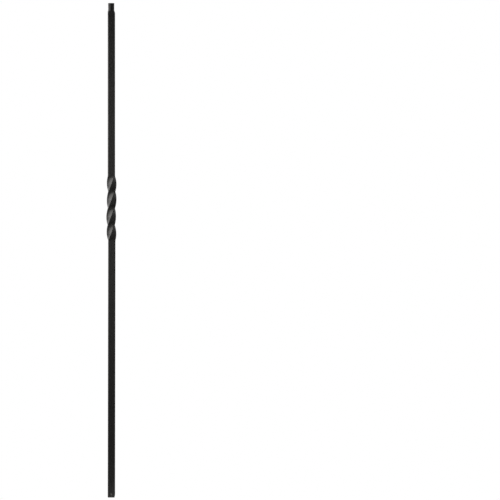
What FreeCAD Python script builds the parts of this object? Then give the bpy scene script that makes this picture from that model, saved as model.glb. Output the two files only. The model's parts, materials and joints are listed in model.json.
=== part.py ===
import FreeCAD, Part
import math
import os

# Iron stair baluster, in millimetres: one solid square bar, twisted hot through a full turn near its
# middle, turned to a round pin at the top for the handrail, and bevelled at the foot for the tread.
# The origin is the middle of the foot's end face, and +Z runs up the bar.

# Driving dimensions of the bar
overall_length = 1066.8      # foot's end face to the top of the pin
bar_width = 15.875           # square stock, from face to face
corner_radius = 2.0          # round on the four long edges

# The twist
twist_middle = 624.0         # height of its middle above the foot
twist_length = 143.0         # from the straight lower shank to the straight upper shank
twist_ease = 5.0             # stretch at each end over which the twist sets in
twist_angle = 360.0          # degrees, right-handed going up
guide_step = 6.0             # degrees of twist from one point of the guide to the next

# The turned top
pin_diameter = 13.2
pin_length = 16.0            # cylinder above the shoulder, with its chamfer
pin_chamfer = 0.6
shoulder_length = 11.0       # cone, from the pin down to where it runs out on the long edges

# The foot
bevel_width = 0.8            # lead-in taken off each face
bevel_height = 4.0

# Heights and reaches that follow from them
twist_bottom = twist_middle - twist_length / 2
twist_top = twist_middle + twist_length / 2
pin_bottom = overall_length - pin_length
pin_radius = pin_diameter / 2
edge_reach = (bar_width / 2 - corner_radius) * math.sqrt(2) + corner_radius

up = FreeCAD.Vector(0, 0, 1)
axis_point = FreeCAD.Vector(0, 0, 0)


def square_section(width, radius, height, angle=0.0):
    """Rounded square across the bar at a height, turned about the axis by an angle in degrees."""
    reach = width / 2
    flat = reach - radius
    edges = []
    for quarter in range(4):
        turn = FreeCAD.Rotation(up, 90 * quarter + angle)
        lift = FreeCAD.Vector(0, 0, height)
        face_start = lift + turn.multVec(FreeCAD.Vector(reach, -flat, 0))
        face_end = lift + turn.multVec(FreeCAD.Vector(reach, flat, 0))
        round_end = lift + turn.multVec(FreeCAD.Vector(flat, reach, 0))
        diagonal = flat + radius / math.sqrt(2)
        round_middle = lift + turn.multVec(FreeCAD.Vector(diagonal, diagonal, 0))
        edges.append(Part.LineSegment(face_start, face_end).toShape())
        edges.append(Part.Arc(face_end, round_middle, round_end).toShape())
    return Part.Wire(edges)


def angle_at(distance):
    """Angle turned at a distance up the twist: the rate grows evenly over one ease, holds, then fades."""
    full_rate = twist_angle / (twist_length - twist_ease)
    left = twist_length - distance
    if distance < twist_ease:
        return full_rate * distance ** 2 / (2 * twist_ease)
    if left < twist_ease:
        return twist_angle - full_rate * left ** 2 / (2 * twist_ease)
    return full_rate * (distance - twist_ease / 2)


def straight_bar(bottom, top, angle):
    """Plain stretch of the bar between two heights."""
    face = Part.Face(square_section(bar_width, corner_radius, bottom, angle))
    return face.extrude(up * (top - bottom))


def twisted_bar():
    """Twisted stretch: the section swept up the axis, with one long edge held to an eased helix."""
    steps = max(2, math.ceil(abs(twist_angle) / guide_step))
    points = []
    for step in range(steps + 1):
        distance = twist_length * step / steps
        turn = FreeCAD.Rotation(up, angle_at(distance))
        points.append(turn.multVec(FreeCAD.Vector(edge_reach, 0, twist_bottom + distance)))
    guide = Part.BSplineCurve()
    guide.interpolate(points)
    spine = Part.makeLine(FreeCAD.Vector(0, 0, twist_bottom), FreeCAD.Vector(0, 0, twist_top))
    sweep = Part.BRepOffsetAPI.MakePipeShell(Part.Wire(spine))
    sweep.setAuxiliarySpine(Part.Wire(guide.toShape()), False, 0)
    sweep.add(square_section(bar_width, corner_radius, twist_bottom))
    sweep.build()
    sweep.makeSolid()
    return sweep.shape()


def turned_waste():
    """Ring that the lathe takes off the top: it leaves the pin, its chamfer and the conical shoulder."""
    slope = shoulder_length / (edge_reach - pin_radius)
    outside = bar_width
    profile = Part.makePolygon([
        FreeCAD.Vector(pin_radius - pin_chamfer, 0, overall_length),
        FreeCAD.Vector(outside, 0, overall_length),
        FreeCAD.Vector(outside, 0, pin_bottom - slope * (outside - pin_radius)),
        FreeCAD.Vector(pin_radius, 0, pin_bottom),
        FreeCAD.Vector(pin_radius, 0, overall_length - pin_chamfer),
        FreeCAD.Vector(pin_radius - pin_chamfer, 0, overall_length),
    ])
    return Part.Face(profile).revolve(axis_point, up, 360)


def bevelled_foot():
    """Lead-in at the foot: the section narrows evenly to the end face."""
    end = square_section(bar_width - 2 * bevel_width, corner_radius - bevel_width, 0)
    full = square_section(bar_width, corner_radius, bevel_height)
    return Part.makeLoft([end, full], True, True)


def baluster():
    """The whole bar as one solid."""
    lower = straight_bar(bevel_height, twist_bottom, 0)
    upper = straight_bar(twist_top, overall_length, twist_angle).cut(turned_waste())
    return bevelled_foot().fuse([lower, twisted_bar(), upper])


os.makedirs("parts", exist_ok=True)
solid = baluster()
print("baluster: solids", len(solid.Solids), "valid", solid.isValid(), "volume", round(solid.Volume, 1))
solid.exportStep("parts/baluster.step")
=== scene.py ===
import bpy
import json
import math
import numpy as np
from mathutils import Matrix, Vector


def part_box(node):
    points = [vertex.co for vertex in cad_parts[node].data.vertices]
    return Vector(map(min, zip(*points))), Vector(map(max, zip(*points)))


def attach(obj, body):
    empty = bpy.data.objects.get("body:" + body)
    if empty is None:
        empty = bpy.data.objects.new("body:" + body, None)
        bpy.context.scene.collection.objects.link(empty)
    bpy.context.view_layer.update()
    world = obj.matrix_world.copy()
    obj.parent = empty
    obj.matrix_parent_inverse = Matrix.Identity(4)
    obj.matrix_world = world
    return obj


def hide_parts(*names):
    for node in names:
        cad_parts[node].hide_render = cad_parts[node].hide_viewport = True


mm = 0.001  # lengths below are in metres

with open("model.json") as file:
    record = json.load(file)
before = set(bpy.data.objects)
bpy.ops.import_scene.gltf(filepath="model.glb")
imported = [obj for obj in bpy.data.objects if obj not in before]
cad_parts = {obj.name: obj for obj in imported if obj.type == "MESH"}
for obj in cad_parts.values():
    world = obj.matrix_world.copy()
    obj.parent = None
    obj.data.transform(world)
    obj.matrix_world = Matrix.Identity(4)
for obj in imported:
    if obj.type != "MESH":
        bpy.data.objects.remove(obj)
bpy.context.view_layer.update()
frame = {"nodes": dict(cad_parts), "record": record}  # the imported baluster: one node on one body
print("frame loaded:", sorted(frame["nodes"]))


def linear(hexColour):
    # sRGB hex to linear RGBA
    parts = np.array([int(hexColour[i:i + 2], 16) for i in (1, 3, 5)]) / 255
    dark = parts / 12.92
    light = ((parts + 0.055) / 1.055) ** 2.4
    return (*np.where(parts <= 0.04045, dark, light).tolist(), 1.0)


def addNode(tree, kind, settings=None, links=None):
    # one node: its settings by property, socket name or socket number, its links as socket: (node, output)
    node = tree.nodes.new(kind)
    for name, value in (settings or {}).items():
        if isinstance(name, str) and hasattr(node, name):
            setattr(node, name, value)
        else:
            node.inputs[name].default_value = value
    for socket, (source, output) in (links or {}).items():
        tree.links.new(source.outputs[output], node.inputs[socket])
    return node


mixA, mixB, mixOut = 6, 7, 2  # the colour sockets of Blender's Mix node

# The bar. Its first nine values are those of the solid; then comes how the real one came out, then the grid.
bar = {
    "width": 15.875 * mm,
    "edgeRadius": 2.0 * mm,
    "twistMiddle": 624.0 * mm,
    "twistLength": 143.0 * mm,
    "twistEase": 5.0 * mm,
    "twistTurn": 2 * math.pi,
    "shoulderLength": 11.0 * mm,
    "bevelWidth": 0.8 * mm,
    "bevelHeight": 4.0 * mm,
    "softEdge": 0.35 * mm,     # the coat rounds every worked edge by about this
    "softShare": 0.28,         # and by no more than this share of a short side
    "gather": math.radians(11.3),  # the hot twist is tighter towards its ends than in its middle
    "runOut": 0.83 * mm,       # it wandered sideways off the axis
    "shankLean": 0.85 * mm,    # and the lower shank leaves it this far to the right,
    "leanFrom": math.radians(195),  # stepping over between these two angles down the twist
    "leanTo": math.radians(345),
    "pinStep": 0.45 * mm,      # the pin was turned this far to the left of the shank's middle
    "bevelSkew": 0.6,          # the foot was ground deeper on the right by this share, and less on the left
    "flatSteps": 12,           # columns along a flat
    "roundSteps": 10,          # columns round a long edge
    "shankRow": 12 * mm,       # height of a row on the straight stretches
    "twistRow": 0.5 * mm,      # and on the twist
    "softSteps": 6,            # rows round a worked edge
    "softLead": 1.6,           # one more row on each side of it, this many soft edges out
    "capRings": 3,             # rings on an end face
}
twistBottom = bar["twistMiddle"] - bar["twistLength"] / 2
twistTop = bar["twistMiddle"] + bar["twistLength"] / 2


def sectionColumns():
    # Columns of a rounded square: point = core * (half width - edge radius) + outward * edge radius.
    # Along a flat the core slides from one corner to the next, closer together near the corners;
    # round a corner the core stays and the outward direction turns through a quarter.
    slide = np.sin(np.linspace(-math.pi / 2, math.pi / 2, bar["flatSteps"] + 1)[:-1])
    turn = np.linspace(0, math.pi / 2, bar["roundSteps"] + 1)[:-1]
    core = np.concatenate([
        np.stack([np.ones_like(slide), slide], axis=1),
        np.ones((len(turn), 2)),
    ])
    outward = np.concatenate([
        np.tile([1.0, 0.0], (len(slide), 1)),
        np.stack([np.cos(turn), np.sin(turn)], axis=1),
    ])
    quarter = np.array([[0.0, 1.0], [-1.0, 0.0]])  # row vectors times this turn a quarter to the left
    turns = [np.linalg.matrix_power(quarter, n) for n in range(4)]
    return np.concatenate([core @ q for q in turns]), np.concatenate([outward @ q for q in turns])


def softCorner(before, corner, after):
    # A corner of a profile rounded by a quadratic curve, with one straight row before and after it:
    # (1-t)^2 start + 2t(1-t) corner + t^2 end, start and end a soft edge away along the two sides.
    def along(end):
        length = np.linalg.norm(end - corner, axis=-1, keepdims=True)
        return (end - corner) * np.minimum(bar["softEdge"] / length, bar["softShare"])

    toBefore, toAfter = along(before), along(after)
    t = np.linspace(0, 1, bar["softSteps"] + 1)[:, None, None]
    curve = corner + (1 - t) ** 2 * toBefore + t ** 2 * toAfter
    lead = bar["softLead"]
    return np.concatenate([(corner + lead * toBefore)[None], curve, (corner + lead * toAfter)[None]])


def footRows(inner, outward):
    # Lead-in at the foot: a profile of inset and height in each column, which moves the section in along
    # its outward direction. Both grow evenly from left to right, as the foot was ground.
    right = (inner + outward * bar["edgeRadius"])[:, 0]
    uneven = 1 + bar["bevelSkew"] * right / (bar["width"] / 2)

    def inset(amount, height):
        return np.stack([uneven * amount, uneven * height], axis=1)

    endFace = inset(bar["width"] / 4, 0)
    bevelFoot = inset(bar["bevelWidth"], 0)
    bevelTop = inset(0, bar["bevelHeight"])
    plainFace = inset(0, 2 * bar["bevelHeight"])
    profile = np.concatenate([
        softCorner(endFace, bevelFoot, bevelTop),
        softCorner(bevelFoot, bevelTop, plainFace),
    ])
    plan = inner + outward * (bar["edgeRadius"] - profile[..., :1])
    return np.concatenate([plan, profile[..., 1:]], axis=-1)


def topRows(square, middle, pin):
    # Shoulder and pin: the lathe's profile of radius and height in each column, about the pin's own middle.
    # It starts where the cone crosses the square, at height = pin bottom - slope * (reach - pin radius).
    fromMiddle = square - middle[:2]
    reach = np.linalg.norm(fromMiddle, axis=1)
    slope = bar["shoulderLength"] / (np.linalg.norm(square, axis=1).max() - pin["radius"])
    crossing = np.stack([reach, pin["bottom"] - slope * (reach - pin["radius"])], axis=1)
    chamfer = pin["top"] - pin["chamferBottom"]

    def ring(radius, height):
        return np.tile([radius, height], (len(square), 1))

    plainFace = crossing - [0, bar["bevelHeight"]]
    pinFoot = ring(pin["radius"], pin["bottom"])
    pinEdge = ring(pin["radius"], pin["chamferBottom"])
    pinEnd = ring(pin["radius"] - chamfer, pin["top"])
    endMiddle = ring(0, pin["top"])
    profile = np.concatenate([
        softCorner(plainFace, crossing, pinFoot),
        softCorner(crossing, pinFoot, pinEdge),
        softCorner(pinFoot, pinEdge, pinEnd),
        softCorner(pinEdge, pinEnd, endMiddle),
    ])
    plan = middle[:2] + fromMiddle / reach[:, None] * profile[..., :1]
    return np.concatenate([plan, profile[..., 1:]], axis=-1)


def shankRows(square, lowest, highest):
    # Straight and twisted stretches between foot and top: the whole square at each height.
    stretches = [
        (lowest, twistBottom, bar["shankRow"]),
        (twistBottom, twistTop, bar["twistRow"]),
        (twistTop, highest, bar["shankRow"]),
    ]
    runs = [np.linspace(start, end, math.ceil((end - start) / row) + 1)[1:] for start, end, row in stretches]
    heights = np.concatenate(runs)[:-1]
    rows = np.empty((len(heights), len(square), 3))
    rows[..., :2] = square
    rows[..., 2] = heights[:, None]
    return rows


def endRings(rim, middle):
    # Rings on an end face, from its middle out: middle + (rim - middle) * share.
    share = np.linspace(0, 1, bar["capRings"] + 1)[1:-1, None, None]
    return middle + (rim - middle) * share


def twistAngle(height):
    # Angle turned at a height: the rate grows evenly over one ease, holds, then fades evenly,
    # so the angle is a parabola, a straight line and a parabola again. From that the gather takes
    # share * (1 - share^2), where share runs from -1 at the lower end to 1 at the upper end.
    ease = bar["twistEase"]
    rate = bar["twistTurn"] / (bar["twistLength"] - ease)
    up = np.clip(height - twistBottom, 0, bar["twistLength"])
    remaining = bar["twistLength"] - up
    rising = rate * up ** 2 / (2 * ease)
    fading = bar["twistTurn"] - rate * remaining ** 2 / (2 * ease)
    even = np.where(up < ease, rising, np.where(remaining < ease, fading, rate * (up - ease / 2)))
    share = 2 * up / bar["twistLength"] - 1
    return even - bar["gather"] * share * (1 - share ** 2)


def sideStep(height):
    # How far the bar stands to the right of its axis: one sine wave down the twist, and a step at its
    # lower end, smooth from leanFrom to leanTo, that the lower shank then takes back to the foot.
    down = bar["twistTurn"] - twistAngle(height)
    share = np.clip((down - bar["leanFrom"]) / (bar["leanTo"] - bar["leanFrom"]), 0, 1)
    step = share ** 2 * (3 - 2 * share)
    return bar["runOut"] * np.sin(down) + bar["shankLean"] * step * np.clip(height / twistBottom, 0, 1)


def twisted(rows):
    # Each point turned about the axis by the angle of its height, then moved by the sideways step there.
    x, y, z = np.moveaxis(rows, -1, 0)
    angle = twistAngle(z)
    return np.stack([
        x * np.cos(angle) - y * np.sin(angle) + sideStep(z),
        x * np.sin(angle) + y * np.cos(angle),
        z,
    ], axis=-1)


def buildBar(pin):
    # A grid of rows up the bar and columns round it. Neighbours make quads, and a fan of triangles
    # closes each end round its middle.
    core, outward = sectionColumns()
    inner = core * (bar["width"] / 2 - bar["edgeRadius"])
    square = inner + outward * bar["edgeRadius"]
    footMiddle = np.zeros(3)
    topMiddle = np.array([-bar["pinStep"], 0, pin["top"]])
    foot = footRows(inner, outward)
    top = topRows(square, topMiddle, pin)
    rows = twisted(np.concatenate([
        endRings(foot[:1], footMiddle),
        foot,
        shankRows(square, foot[-1, :, 2].max(), top[0, :, 2].min()),
        top,
        endRings(top[-1:], topMiddle)[::-1],
    ]))
    points = np.concatenate([rows.reshape(-1, 3), [footMiddle, topMiddle]])
    grid = np.arange(rows[..., 0].size).reshape(rows.shape[:2])
    beside = np.roll(grid, -1, axis=1)
    quads = np.stack([grid[:-1], beside[:-1], beside[1:], grid[1:]], axis=-1).reshape(-1, 4)
    footPoint = np.full(len(square), grid.size)
    footFan = np.stack([footPoint, beside[0], grid[0]], axis=1)
    topFan = np.stack([footPoint + 1, grid[-1], beside[-1]], axis=1)
    mesh = bpy.data.meshes.new("balusterBar")
    mesh.from_pydata(points.tolist(), [], quads.tolist() + footFan.tolist() + topFan.tolist())
    mesh.shade_smooth()
    piece = bpy.data.objects.new("balusterBar", mesh)
    bpy.context.scene.collection.objects.link(piece)
    print("bar built:", len(points), "points,", 2 * len(quads) + 2 * len(square), "triangles")
    return piece


coat = {
    "black": "#131312",
    "worn": "#181716",
    "ior": 1.5,
    "specularLevel": 0.45,
    "roughness": (0.35, 0.41),
    "cloudSize": 30 * mm,      # slow drift of tone and gloss along the bar
    "cloudDetail": 3.0,
    "peelSize": 1.8 * mm,      # ripple of the baked powder
    "peelDetail": 1.0,
    "peelDepth": 0.05 * mm,
    "rubbed": "#4A4948",       # a paler spot at the front of the foot
    "rubHeight": 7.0 * mm,
    "rubFade": (0.6 * mm, 3.2 * mm),
    "rubRagged": 3.0 * mm,
}


def satinBlackPowderCoat():
    # Iron under a baked satin black powder coat: a dark neutral film with a broad soft sheen,
    # a faint orange-peel ripple, and a gloss that drifts a little from place to place.
    material = bpy.data.materials.new("satinBlackPowderCoat")
    material.use_nodes = True
    tree = material.node_tree
    tree.nodes.clear()
    place = addNode(tree, "ShaderNodeTexCoord")
    cloud = addNode(tree, "ShaderNodeTexNoise",
                    {"Scale": 1 / coat["cloudSize"], "Detail": coat["cloudDetail"]},
                    {"Vector": (place, "Object")})
    peel = addNode(tree, "ShaderNodeTexNoise",
                   {"Scale": 1 / coat["peelSize"], "Detail": coat["peelDetail"]},
                   {"Vector": (place, "Object")})
    tone = addNode(tree, "ShaderNodeMix",
                   {"data_type": "RGBA", mixA: linear(coat["black"]), mixB: linear(coat["worn"])},
                   {"Factor": (cloud, "Fac")})
    # a paler spot on the front of the foot: the colour goes to pale grey inside a ragged round
    away = addNode(tree, "ShaderNodeVectorMath",
                   {"operation": "DISTANCE", 1: (0, -bar["width"] / 2, coat["rubHeight"])},
                   {0: (place, "Object")})
    ragged = addNode(tree, "ShaderNodeMath", {"operation": "MULTIPLY_ADD", 1: coat["rubRagged"]},
                     {0: (peel, "Fac"), 2: (away, "Value")})
    paleSpotMask = addNode(tree, "ShaderNodeMapRange",
                  {"interpolation_type": "SMOOTHSTEP", "To Min": 1.0, "To Max": 0.0,
                   "From Min": coat["rubFade"][0] + coat["rubRagged"] / 2,
                   "From Max": coat["rubFade"][1] + coat["rubRagged"] / 2},
                  {"Value": (ragged, "Value")})
    colour = addNode(tree, "ShaderNodeMix", {"data_type": "RGBA", mixB: linear(coat["rubbed"])},
                     {"Factor": (paleSpotMask, "Result"), mixA: (tone, mixOut)})
    gloss = addNode(tree, "ShaderNodeMapRange",
                    {"To Min": coat["roughness"][0], "To Max": coat["roughness"][1]},
                    {"Value": (cloud, "Fac")})
    ripple = addNode(tree, "ShaderNodeBump", {"Strength": 1.0, "Distance": coat["peelDepth"]},
                     {"Height": (peel, "Fac")})
    shader = addNode(tree, "ShaderNodeBsdfPrincipled",
                     {"IOR": coat["ior"], "Specular IOR Level": coat["specularLevel"], "Metallic": 0.0},
                     {"Base Color": (colour, mixOut), "Roughness": (gloss, "Result"),
                      "Normal": (ripple, "Normal")})
    addNode(tree, "ShaderNodeOutputMaterial", None, {"Surface": (shader, "BSDF")})
    return material


def pinOfFrame(top):
    # The frame's mount for the pin is its cylinder, up to the chamfer.
    mounts = {mount["name"]: mount for mount in frame["record"]["mounts"]}
    height = mounts["top_pin"]["pos_m"][2]
    size = mounts["top_pin"]["dims"]
    half = size["length_mm"] * mm / 2
    return {"radius": size["r_mm"] * mm, "bottom": height - half, "chamferBottom": height + half, "top": top}


low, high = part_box("baluster")
baluster = buildBar(pinOfFrame(high.z))
baluster.data.materials.append(satinBlackPowderCoat())
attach(baluster, "root")
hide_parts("baluster")
print("coat on, baluster in place")


studio = {
    "floorFade": (0.06, 0.35),  # the floor is whole inside the first radius and gone at the second
    "floorTone": "#F1F0EE",
    "floorVeil": 0.6,          # share of plain white that the floor shows over its own light and shadow
    "white": "#FFFFFF",        # the background
    "fill": 0.45,              # strength of its light on matt surfaces
    "lampTone": "#FFFDF9",
    # direction round the bar and above it in degrees, then metres and watts
    "lamps": {
        # broad sheen on the faces turned left, and on round to the left edge
        "keyLamp": {"azimuth": -59, "elevation": 21, "distance": 1.3, "size": (1.84, 1.14), "watts": 28.5},
        "leftLamp": {"azimuth": -110, "elevation": 26, "distance": 1.4, "size": (0.7, 1.1), "watts": 2.5},
        # faint sheen on the front
        "topLamp": {"azimuth": -10, "elevation": 36, "distance": 2.3, "size": (1.8, 1.2), "watts": 3.1},
        "frontLamp": {"azimuth": 0, "elevation": 2, "distance": 1.2, "size": (0.25, 0.2), "watts": 0.3},
        # light along both outlines
        "backLamp": {"azimuth": 180, "elevation": 4, "distance": 1.5, "size": (0.6, 1.3), "watts": 4.2},
        "rimLamp": {"azimuth": 217, "elevation": 6, "distance": 1.5, "size": (0.6, 1.3), "watts": 1.2},
    },
    # from one direction round the bar to another, how far, from which height to which, and the tone
    "cards": {
        # dark grey for the front faces, pale grey for the right and the back
        "frontCard": {"azimuths": (-72, 40), "radius": 2.2, "heights": (-1.2, 3.8), "tone": "#505050"},
        "sideCard": {"azimuths": (40, 195), "radius": 2.2, "heights": (-1.2, 3.8), "tone": "#D2D2D2"},
        # grey low down at the back left, for the lower shank
        "lowCard": {"azimuths": (195, 246), "radius": 2.2, "heights": (-1.2, 0.45), "tone": "#7C7C7C"},
        # keeps some of the key lamp off the pin
        "pinFlag": {"azimuths": (-105, -20), "radius": 0.3, "heights": (1.045, 1.3), "tone": "#606060"},
    },
    "cardStep": 4,             # degrees from one column of a card to the next
}


def seenRay(tree):
    # 1 for what is seen straight, in a gloss or through glass, and 0 for light on its way to a matt surface
    path = addNode(tree, "ShaderNodeLightPath")
    direct = addNode(tree, "ShaderNodeMath", {"operation": "MAXIMUM"},
                     {0: (path, "Is Camera Ray"), 1: (path, "Is Glossy Ray")})
    return addNode(tree, "ShaderNodeMath", {"operation": "MAXIMUM"},
                   {0: (direct, "Value"), 1: (path, "Is Transmission Ray")})


def paleFloor():
    # A square of pale matt board under a veil of white, which keeps the shadow but not the lamps' fall-off.
    # It thins out to nothing with distance, so it ends without a line.
    whole, gone = studio["floorFade"]
    corners = [(-gone, -gone, 0), (gone, -gone, 0), (gone, gone, 0), (-gone, gone, 0)]
    mesh = bpy.data.meshes.new("floor")
    mesh.from_pydata(corners, [], [(0, 1, 2, 3)])
    material = bpy.data.materials.new("paleMattBoard")
    material.use_nodes = True
    tree = material.node_tree
    tree.nodes.clear()
    place = addNode(tree, "ShaderNodeTexCoord")
    away = addNode(tree, "ShaderNodeVectorMath", {"operation": "LENGTH"}, {"Vector": (place, "Object")})
    fade = addNode(tree, "ShaderNodeMapRange",
                   {"interpolation_type": "SMOOTHSTEP", "From Min": whole, "From Max": gone},
                   {"Value": (away, "Value")})
    board = addNode(tree, "ShaderNodeBsdfDiffuse", {"Color": linear(studio["floorTone"])})
    white = addNode(tree, "ShaderNodeEmission", {"Color": linear(studio["white"]), "Strength": 1.0})
    veil = addNode(tree, "ShaderNodeMath", {"operation": "MULTIPLY", 1: studio["floorVeil"]},
                   {0: (seenRay(tree), "Value")})
    veiled = addNode(tree, "ShaderNodeMixShader", None,
                     {"Fac": (veil, "Value"), 1: (board, "BSDF"), 2: (white, "Emission")})
    clear = addNode(tree, "ShaderNodeBsdfTransparent")
    blend = addNode(tree, "ShaderNodeMixShader", None,
                    {"Fac": (fade, "Result"), 1: (veiled, "Shader"), 2: (clear, "BSDF")})
    addNode(tree, "ShaderNodeOutputMaterial", None, {"Surface": (blend, "Shader")})
    floor = bpy.data.objects.new("floor", mesh)
    floor.data.materials.append(material)
    bpy.context.scene.collection.objects.link(floor)


def whiteWorld():
    # Plain white where it is seen, and a soft fill for the rest.
    world = bpy.data.worlds.new("whiteStudio")
    world.use_nodes = True
    tree = world.node_tree
    tree.nodes.clear()
    tone = linear(studio["white"])
    fill = addNode(tree, "ShaderNodeBackground", {"Color": tone, "Strength": studio["fill"]})
    white = addNode(tree, "ShaderNodeBackground", {"Color": tone, "Strength": 1.0})
    blend = addNode(tree, "ShaderNodeMixShader", None,
                    {"Fac": (seenRay(tree), "Value"), 1: (fill, "Background"), 2: (white, "Background")})
    addNode(tree, "ShaderNodeOutputWorld", None, {"Surface": (blend, "Shader")})
    bpy.context.scene.world = world


def greyCard(name, settings):
    # A curved matt card out of the camera's sight, so that the faces turned to it reflect something grey:
    # points at one radius round the bar, a few degrees apart, in two rows.
    first, last = settings["azimuths"]
    steps = math.ceil((last - first) / studio["cardStep"])
    around = np.radians(np.linspace(first, last, steps + 1))
    row = np.stack([np.sin(around), -np.cos(around)], axis=1) * settings["radius"]
    points = [(x, y, z) for z in settings["heights"] for x, y in row]
    upper = steps + 1
    faces = [(i, i + 1, upper + i + 1, upper + i) for i in range(steps)]
    mesh = bpy.data.meshes.new(name)
    mesh.from_pydata(points, [], faces)
    material = bpy.data.materials.new(name + "Felt")
    material.use_nodes = True
    tree = material.node_tree
    tree.nodes.clear()
    felt = addNode(tree, "ShaderNodeBsdfDiffuse", {"Color": linear(settings["tone"])})
    addNode(tree, "ShaderNodeOutputMaterial", None, {"Surface": (felt, "BSDF")})
    card = bpy.data.objects.new(name, mesh)
    card.data.materials.append(material)
    card.visible_camera = False
    bpy.context.scene.collection.objects.link(card)


def softLamp(name, settings, middle):
    # A broad lamp out of the camera's sight, turned to the bar's middle.
    azimuth, elevation = math.radians(settings["azimuth"]), math.radians(settings["elevation"])
    level = math.cos(elevation)
    away = np.array([math.sin(azimuth) * level, -math.cos(azimuth) * level, math.sin(elevation)])
    data = bpy.data.lights.new(name, "AREA")
    data.shape = "RECTANGLE"
    data.size, data.size_y = settings["size"]
    data.energy = settings["watts"]
    data.color = linear(studio["lampTone"])[:3]
    lamp = bpy.data.objects.new(name, data)
    lamp.location = middle + away * settings["distance"]
    lamp.rotation_euler = (math.pi / 2 - elevation, 0, azimuth)
    lamp.visible_camera = False
    bpy.context.scene.collection.objects.link(lamp)


paleFloor()
whiteWorld()
for cardName, cardSettings in studio["cards"].items():
    greyCard(cardName, cardSettings)
for lampName, lampSettings in studio["lamps"].items():
    softLamp(lampName, lampSettings, np.array([0, 0, high.z / 2]))
bpy.context.scene.view_settings.view_transform = "Standard"
print("floor, world and lamps set")


shot = {
    "frame": 500,              # pixels each way
    "topRow": 3.02,            # the pin's end in the photograph
    "footRow": 497.55,         # the foot's end
    "axisColumn": 111.4,
    "distance": 2.5,
}


def frontCamera():
    # Straight from the front with no perspective, as the whole baluster is shown.
    pixel = (high.z - low.z) / (shot["footRow"] - shot["topRow"])
    middle = shot["frame"] / 2
    across = (middle - shot["axisColumn"]) * pixel
    up = (shot["footRow"] - middle) * pixel
    data = bpy.data.cameras.new("frontCamera")
    data.type = "ORTHO"
    data.ortho_scale = shot["frame"] * pixel
    camera = bpy.data.objects.new("frontCamera", data)
    camera.location = (across, -shot["distance"], up)
    camera.rotation_euler = (math.pi / 2, 0, 0)
    bpy.context.scene.collection.objects.link(camera)
    bpy.context.scene.camera = camera


frontCamera()
